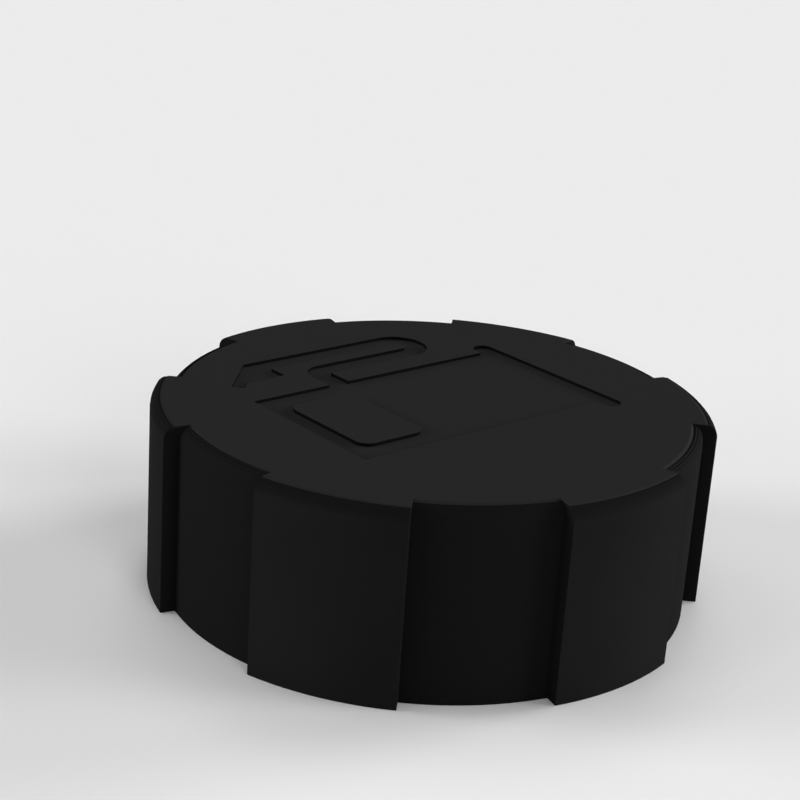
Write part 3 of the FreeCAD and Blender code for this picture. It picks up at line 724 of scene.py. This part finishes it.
@dataclass
class GripShell(SoftenedPart):
    """The shell that the hand turns, with fine grooves between the steps of its rounded top edge.

    Only what shows from outside is softened: the side wall, the engraved top and the lower rim.
    """

    node: str = "grip_shell"
    body: str = "knob"
    slot: str = "shell_plastic"
    radius_mm: float = 0.1
    sharp_deg: float = 6.0
    skin_mm: float = 2.5
    sign_depth_mm: float = 0.5
    rim_mm: float = 0.1
    recess_radius_mm: float = 37.9
    rounding_mm: float = 1.8
    rounding_steps: int = 6
    groove_depths_mm: tuple[float, ...] = (0.21, 0.12, 0.09, 0.06)
    lobe_groove_share: float = 0.42
    sign_edge_share: float = 0.3
    lobe_edge_share: float = 0.3
    level_slack_mm: float = 0.002
    cut_slack_mm: float = 1e-5
    least_tilt: float = 0.05
    greatest_tilt: float = 0.999
    engraving_reach: float = 1.5
    outward_share: float = 0.3
    level_share: float = 0.1
    bottom_mm: float = field(init=False)
    top_mm: float = field(init=False)
    lobe_radius_mm: float = field(init=False)
    outer_wall_mm: float = field(init=False)

    def __post_init__(self) -> None:
        """Reads the levels and radii that its shape is placed by."""
        low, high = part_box(self.node)
        _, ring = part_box("retaining_ring")
        self.bottom_mm = low.z / MM
        self.top_mm = high.z / MM
        self.lobe_radius_mm = high.x / MM
        self.outer_wall_mm = ring.x / MM - self.skin_mm / 2

    def step_lines(self) -> tuple[Array, Array]:
        """Places the lines between the flat steps of the edge, which share a quarter circle evenly.

        Returns:
            Their angles up from level, and their levels, both from the top down.
        """
        angles = math.pi / 2 * (1 - np.arange(self.rounding_steps + 1) / self.rounding_steps)
        return angles, self.top_mm - self.rounding_mm * (1 - np.sin(angles))

    def prepare(self, work: bmesh.types.BMesh) -> None:
        """Cuts a ring of edges round the middle of each step below a groove, which stays as a ridge.

        A face belongs to a step if its normal leans out and up, and it lies outside the skirt's inner
        wall.

        Args:
            work: the merged mesh.
        """
        _, levels = self.step_lines()
        for ridge in range(1, len(self.groove_depths_mm) + 1):
            level = (levels[ridge] + levels[ridge + 1]) / 2
            leaning = [face for face in work.faces if self.least_tilt < face.normal.z < self.greatest_tilt]
            steps = [
                face for face in leaning
                if face.calc_center_median().xy.length > self.outer_wall_mm * MM
            ]
            edges = {edge for face in steps for edge in face.edges}
            points = {vert for face in steps for vert in face.verts}
            bmesh.ops.bisect_plane(
                work,
                geom=[*steps, *edges, *points],
                dist=self.cut_slack_mm * MM,
                plane_co=(0, 0, level * MM),
                plane_no=(0, 0, 1),
            )

    def sink(self, points: Array) -> Array:
        """Sinks the lines between the steps square to the edge's curve, and less deep on the lobes.

        Args:
            points: the mesh's points in millimetres.

        Returns:
            The points with those of the grooves sunk.
        """
        radius = np.hypot(points[:, 0], points[:, 1])
        angles, levels = self.step_lines()
        sunk = points.copy()
        for angle, level, depth in zip(angles[1:], levels[1:], self.groove_depths_mm):
            ring = (np.abs(points[:, 2] - level) < self.level_slack_mm) & (radius > self.outer_wall_mm)
            depths = np.where(radius[ring] > self.recess_radius_mm, depth * self.lobe_groove_share, depth)
            sunk[ring, :2] *= (1 - depths * math.cos(angle) / radius[ring])[:, None]
            sunk[ring, 2] -= depths * math.sin(angle)
            log.info("groove %.2f mm deep sunk at %d points", depth, np.count_nonzero(ring))
        return sunk

    def rounded(self, middles: Array, runs: Array) -> Array:
        """Share of the radius by where an edge lies.

        The lower rim gets all of it, and the engraving and the lobes get less. The edges that run
        round the steps of the top edge stay crisp: they lie across the way out from the axis.

        Args:
            middles: the middle of each edge in millimetres.
            runs: the direction of each edge, with a length of one.

        Returns:
            The share for each edge.
        """
        radius, height = np.hypot(middles[:, 0], middles[:, 1]), middles[:, 2]
        outer = radius > self.outer_wall_mm
        rim = height < self.bottom_mm + self.rim_mm
        engraved = ~outer & (height > self.top_mm - self.engraving_reach * self.sign_depth_mm)
        out = np.abs((middles[:, :2] * runs[:, :2]).sum(axis=1)) / np.maximum(radius, self.rim_mm)
        level = (out < self.outward_share) & (np.abs(runs[:, 2]) < self.level_share)
        steps = (height > self.top_mm - self.rounding_mm) & level
        shares = [1.0, self.sign_edge_share, self.lobe_edge_share]
        return np.select([rim, engraved, outer & ~steps], shares, 0.0)


@dataclass
class Grip:
    """What the hand turns: the shell, and the snap ring in its skirt."""

    acetal: MouldedPlastic = MouldedPlastic(
        "black acetal", dark="1c1c1d", light="202021", roughness=0.45, specular=0.5, grain=Grain.POLISHED,
    )

    def build(self) -> None:
        """Builds and dresses the shell and its ring."""
        shell = GripShell()
        # The shell's finish paints light on its top and shade between the lobes, on the rounded edge and in
        # the engraving.
        finish = PaintedLightShadePlastic(
            "spark-eroded black polypropylene",
            dark="171717",
            light="191919",
            roughness=0.6,
            specular=0.0005,
            grain=Grain.SPARKED,
            top_mm=shell.top_mm,
            rounding_mm=shell.rounding_mm,
            engraving_mm=shell.sign_depth_mm,
            inner_mm=shell.outer_wall_mm,
            recess_mm=shell.recess_radius_mm,
            lobe_mm=shell.lobe_radius_mm,
        )
        shell.build(finish.make())
        dress(self.acetal.make(), "retaining_ring")


@dataclass
class Closure:
    """The part that screws on the neck: its thread, the gasket and the splash baffle."""

    pitch_mm: float = 3.6
    depth_mm: float = 1.15
    root_width_mm: float = 2.0
    crest_width_mm: float = 0.8
    margin_mm: float = 0.7
    sunk_mm: float = 0.12
    run_out_deg: float = 40.0
    least_share: float = 0.02
    steps_per_turn: int = 120
    section_points: int = 13
    nylon: MouldedPlastic = MouldedPlastic(
        "bead-blasted nylon", dark="29292b", light="303032", roughness=0.6, specular=0.4, grain=Grain.BLASTED,
    )
    rubber: PressedRubber = PressedRubber("nitrile rubber of the neck gasket")
    zinc: ToolMarkedMetal = ToolMarkedMetal(
        "zinc-plated pressed sheet", dark="a7a8a5", light="b6b7b3", roughness=0.38, marks=Turning.ALONG,
    )

    def thread(self, material: bpy.types.Material) -> None:
        """Builds the ridge of the thread, a trapezoid wound up the bore.

        A row of the grid is one section. Its points go across the ridge, with the depth rising along
        each flank as a smooth step, and the first and last lie inside the wall. The depth runs out to
        next to nothing at both ends.

        Args:
            material: the closure's finish.
        """
        mount = next(m for m in frame["record"]["mounts"] if m["name"] == "neck_thread")
        radius = mount["dims"]["r_mm"]
        half = mount["dims"]["length_mm"] / 2 - self.margin_mm - self.root_width_mm / 2
        middle = mount["pos_m"][2] / MM
        turns = 2 * half / self.pitch_mm
        angle = np.linspace(0.0, math.tau * turns, round(turns * self.steps_per_turn) + 1)
        level = middle - half + self.pitch_mm * angle / math.tau
        run_out = math.radians(self.run_out_deg)
        share = smooth_step(np.clip(np.minimum(angle, angle[-1] - angle) / run_out, 0.0, 1.0))
        share = self.least_share + (1 - self.least_share) * share
        across = np.linspace(-self.root_width_mm / 2, self.root_width_mm / 2, self.section_points)
        flank = (self.root_width_mm - self.crest_width_mm) / 2
        rise = smooth_step(np.clip((self.root_width_mm / 2 - np.abs(across)) / flank, 0.0, 1.0))
        reach = radius + self.sunk_mm - (self.depth_mm + self.sunk_mm) * rise[None, :] * share[:, None]
        points = np.stack([
            reach * np.cos(angle)[:, None],
            reach * np.sin(angle)[:, None],
            level[:, None] + across[None, :],
        ], axis=-1) * MM
        mesh = tube_mesh("neck_thread_ridge", points, radius * angle)
        outward(mesh)
        add_piece(mesh, material, "closure", ROUND_FORM_DEG)
        log.info("neck_thread_ridge wound in %.1f turns", turns)

    def build(self) -> None:
        """Builds and dresses the closure and what it carries below its plate."""
        nylon = self.nylon.make()
        dress(nylon, "threaded_closure")
        self.thread(nylon)
        dress(self.rubber.make(), "neck_gasket")
        dress(self.zinc.make(), "splash_baffle")


@dataclass
class Ratchet:
    """Pawl ring, and the washer that keeps it off the hub of the shell."""

    acetal: MouldedPlastic = MouldedPlastic(
        "natural acetal", dark="d2d0c4", light="dedccf", roughness=0.42, specular=0.5, grain=Grain.POLISHED,
    )
    sheet: ToolMarkedMetal = ToolMarkedMetal(
        "zinc-plated washer", dark="a5a6a3", light="c2c3bf", roughness=0.34, marks=Turning.AROUND,
    )

    def build(self) -> None:
        """Dresses the pawl ring and the washer."""
        dress(self.acetal.make(), "ratchet_ring")
        dress(self.sheet.make(), "slip_washer")


@dataclass
class CoilSpring:
    """A compression spring wound from round wire, which stands for the plainer one of the frame."""

    node: str
    body: str
    joint: str
    wire_mm: float
    turns: float
    travel_mm: float
    fixed_high: bool
    steps_per_turn: int = 72
    sides: int = 16

    def build(self, material: bpy.types.Material) -> bpy.types.Object:
        """Winds the wire up the axis between the levels of its node.

        The middle of the wire follows a helix, and each section is a circle across it, spanned by the
        direction out from the axis and the one square to that and to the path.

        Args:
            material: the finish of the wire.

        Returns:
            The new object.
        """
        low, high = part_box(self.node)
        half_wire = self.wire_mm / 2
        radius = high.x / MM - half_wire
        bottom, top = low.z / MM + half_wire, high.z / MM - half_wire
        angle = np.linspace(0.0, math.tau * self.turns, round(self.turns * self.steps_per_turn) + 1)
        rise = (top - bottom) / angle[-1]
        out = np.stack([np.cos(angle), np.sin(angle), np.zeros_like(angle)], axis=-1)
        steps = [-radius * np.sin(angle), radius * np.cos(angle), np.full_like(angle, rise)]
        along = np.stack(steps, axis=-1)
        along /= np.linalg.norm(along, axis=1, keepdims=True)
        aside = np.cross(along, out)
        centre = out * radius + np.stack([np.zeros_like(angle)] * 2 + [bottom + rise * angle], axis=-1)
        around = np.arange(self.sides) / self.sides * math.tau
        cosine, sine = np.cos(around)[None, :, None], np.sin(around)[None, :, None]
        ring = cosine * out[:, None, :] + sine * aside[:, None, :]
        points = (centre[:, None, :] + half_wire * ring) * MM
        mesh = tube_mesh(f"{self.node}_wire", points, math.hypot(radius, rise) * angle)
        outward(mesh)
        piece = add_piece(mesh, material, self.body, ROUND_FORM_DEG)
        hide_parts(self.node)
        self.give(piece)
        log.info("%s wound in %.1f turns", piece.name, self.turns)
        return piece

    def give(self, piece: bpy.types.Object) -> None:
        """Gives the spring its own copy of its mesh; it doesn't shorten with its valve's travel.

        Args:
            piece: the spring.
        """
        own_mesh(piece)


@dataclass
class BreatherValve:
    """Two valves in one housing, with their travels: one lets pressure out, and one lets air in."""

    pressure_mm: float = 1.2
    vacuum_mm: float = 0.8
    acetal: MouldedPlastic = MouldedPlastic(
        "dark grey acetal", dark="5c5e61", light="66686b", roughness=0.5, specular=0.5, grain=Grain.POLISHED,
    )
    rubber: PressedRubber = PressedRubber(
        "nitrile rubber of the valve seal", dark="121212", light="1f1f1e", roughness=0.78,
    )
    brass: ToolMarkedMetal = ToolMarkedMetal(
        "turned brass", dark="a8874a", light="c9a661", roughness=0.3, marks=Turning.AROUND,
    )
    plated: ToolMarkedMetal = ToolMarkedMetal(
        "zinc-plated screws", dark="a0a19e", light="c4c5c1", roughness=0.3, marks=Turning.AROUND,
    )
    clip: ToolMarkedMetal = ToolMarkedMetal(
        "spring clip steel", dark="8b8a86", light="aeada8", roughness=0.3, marks=Turning.ALONG,
    )
    foam: OpenCellFoam = OpenCellFoam("open-cell breather foam")
    wire: DrawnWire = DrawnWire("drawn stainless wire")

    def build(self) -> None:
        """Builds and dresses the valves, their springs and their housing."""
        dress(self.acetal.make(), "valve_housing", "spring_cap")
        dress(self.rubber.make(), "housing_gasket", "pressure_seal")
        dress(self.brass.make(), "pressure_plate", "vacuum_valve")
        dress(self.plated.make(), "valve_screws")
        dress(self.clip.make(), "spring_keeper")
        dress(self.foam.make(), "breather_filter")
        pressure_spring = CoilSpring(
            "pressure_spring",
            body="closure",
            joint="pressure_lift",
            wire_mm=0.8,
            turns=2,
            travel_mm=self.pressure_mm,
            fixed_high=True,
        )
        vacuum_spring = CoilSpring(
            "vacuum_spring",
            body="pressure_valve",
            joint="vacuum_open",
            wire_mm=0.35,
            turns=3,
            travel_mm=self.vacuum_mm,
            fixed_high=False,
        )
        wire = self.wire.make()
        for spring in (pressure_spring, vacuum_spring):
            spring.build(wire)


def towards(azimuth_deg: float, height_deg: float) -> Vector:
    """Unit vector towards an azimuth and a height above level.

    Args:
        azimuth_deg: angle from +X towards +Y.
        height_deg: angle up from level.

    Returns:
        The vector.
    """
    azimuth, height = math.radians(azimuth_deg), math.radians(height_deg)
    level = math.cos(height)
    return Vector((math.cos(azimuth) * level, math.sin(azimuth) * level, math.sin(height)))


def swung(first: Vector, second: Vector, angle_deg: float) -> tuple[Vector, Vector]:
    """Turns two axes that are square to each other by an angle, the first towards the second."""
    cosine, sine = math.cos(math.radians(angle_deg)), math.sin(math.radians(angle_deg))
    return cosine * first + sine * second, cosine * second - sine * first


@dataclass(frozen=True)
class SoftLamp:
    """A broad soft lamp, far enough off to light floor and cap evenly.

    Its turn is counted from the camera to the right, its height up from the floor, and its spread
    is the angle that it fills as seen from the cap. A light of one, square to a white board, makes
    the board render as white.
    """

    name: str
    turn_deg: float
    height_deg: float
    light: float
    spread_deg: float = 26.0

    def place(self, camera_azimuth_deg: float) -> None:
        """Hangs the lamp, facing the cap.

        Args:
            camera_azimuth_deg: where the camera stands, from which the lamp's turn is counted.
        """
        data = bpy.data.lights.new(self.name, "SUN")
        data.angle = math.radians(self.spread_deg)
        data.energy = self.light * math.pi
        lamp = bpy.data.objects.new(self.name, data)
        lamp.location = towards(camera_azimuth_deg + self.turn_deg, self.height_deg)
        lamp.rotation_euler = lamp.location.to_track_quat("Z", "Y").to_euler()
        bpy.context.scene.collection.objects.link(lamp)


@dataclass
class Studio:
    """Pale floor, soft lamps and the photograph's viewpoint.

    The viewpoint is the fit of the photograph's perspective: the camera stands off the middle of the
    rim, looks at it, and is then panned, tilted and rolled a little.
    """

    azimuth_deg: float = 137.803
    elevation_deg: float = 25.581
    pan_deg: float = 1.099
    tilt_deg: float = -5.435
    roll_deg: float = -4.36
    distance_mm: float = 268.51
    focal_px: float = 1820.4
    frame_px: float = 800.0
    sensor_mm: float = 36.0
    floor_reach_mm: float = 4000.0
    board_colour: str = "ebebeb"
    room_light: float = 0.05
    lamps: tuple[SoftLamp, ...] = (
        SoftLamp("low lamp on the right", turn_deg=90.0, height_deg=8.0, light=0.96),
        SoftLamp("low lamp behind on the right", turn_deg=120.0, height_deg=8.0, light=1.25),
        SoftLamp("low lamp on the left", turn_deg=-90.0, height_deg=8.0, light=1.001),
        SoftLamp("low lamp at the front left", turn_deg=-60.0, height_deg=8.0, light=0.241),
        SoftLamp("fill lamp by the camera", turn_deg=30.0, height_deg=22.0, light=0.27),
        SoftLamp("high lamp behind", turn_deg=180.0, height_deg=60.0, light=0.153),
        SoftLamp("high lamp behind on the left", turn_deg=-120.0, height_deg=60.0, light=0.063),
        SoftLamp("lamp overhead", turn_deg=0.0, height_deg=88.0, light=0.168),
    )

    def camera(self) -> None:
        """Sets the camera up.

        Its axes start square to the line of sight. The pan turns right and forward about up, the tilt
        turns up and forward about right, and the roll turns right and up about forward.
        """
        away = towards(self.azimuth_deg, self.elevation_deg)
        forward = -away
        right = forward.cross(Vector((0, 0, 1))).normalized()
        up = right.cross(forward)
        right, forward = swung(right, forward, self.pan_deg)
        up, forward = swung(up, forward, self.tilt_deg)
        right, up = swung(right, up, -self.roll_deg)
        data = bpy.data.cameras.new("viewpoint")
        data.sensor_width = self.sensor_mm
        data.lens = self.focal_px / self.frame_px * self.sensor_mm
        data.clip_start = MM
        camera = bpy.data.objects.new("viewpoint", data)
        turned = Matrix((right, up, -forward)).transposed().to_4x4()
        camera.matrix_world = Matrix.Translation(away * self.distance_mm * MM) @ turned
        bpy.context.scene.collection.objects.link(camera)
        bpy.context.scene.camera = camera

    def floor(self) -> None:
        """Lays a wide pale board under the cap."""
        reach = self.floor_reach_mm * MM
        mesh = bpy.data.meshes.new("studio_floor")
        corners = [(-reach, -reach, 0), (reach, -reach, 0), (reach, reach, 0), (-reach, reach, 0)]
        mesh.from_pydata(corners, [], [(0, 1, 2, 3)])
        material, tree = empty_material("painted studio board")
        paint = {"Base Color": linear(self.board_colour), "Roughness": 1.0, "Specular IOR Level": 0.0}
        add_surface(tree, paint)
        mesh.materials.append(material)
        board = bpy.data.objects.new("studio_floor", mesh)
        bpy.context.scene.collection.objects.link(board)

    def room(self) -> None:
        """Sets the even light of the room, and its far wall as the camera, metal and glass see it."""
        world = bpy.data.worlds.new("studio")
        world.use_nodes = True
        tree = world.node_tree
        tree.nodes.clear()
        light = {"Color": linear("ffffff"), "Strength": self.room_light}
        even = add_node(tree, "ShaderNodeBackground", inputs=light)
        paint = {"Color": linear(self.board_colour), "Strength": 1.0}
        wall = add_node(tree, "ShaderNodeBackground", inputs=paint)
        rays = add_node(tree, "ShaderNodeLightPath").outputs
        indirect = {0: rays["Is Glossy Ray"], 1: rays["Is Transmission Ray"]}
        mirrored = add_node(tree, "ShaderNodeMath", {"operation": "MAXIMUM"}, indirect)
        direct = {0: rays["Is Camera Ray"], 1: mirrored.outputs[0]}
        seen = add_node(tree, "ShaderNodeMath", {"operation": "MAXIMUM"}, direct)
        shares = {0: seen.outputs[0], 1: even.outputs[0], 2: wall.outputs[0]}
        both = add_node(tree, "ShaderNodeMixShader", inputs=shares)
        add_node(tree, "ShaderNodeOutputWorld", inputs={"Surface": both.outputs[0]})
        bpy.context.scene.world = world

    def build(self) -> None:
        """Builds the studio."""
        self.camera()
        self.floor()
        self.room()
        for lamp in self.lamps:
            lamp.place(self.azimuth_deg)
        bpy.context.scene.view_settings.view_transform = "Standard"


def main() -> None:
    """Builds the looks of the cap, piece by piece, and the studio around it."""
    logging.basicConfig(level=logging.INFO, format="%(name)s: %(message)s")
    Grip().build()
    Closure().build()
    Ratchet().build()
    BreatherValve().build()
    Studio().build()


if __name__ == "__main__":
    main()
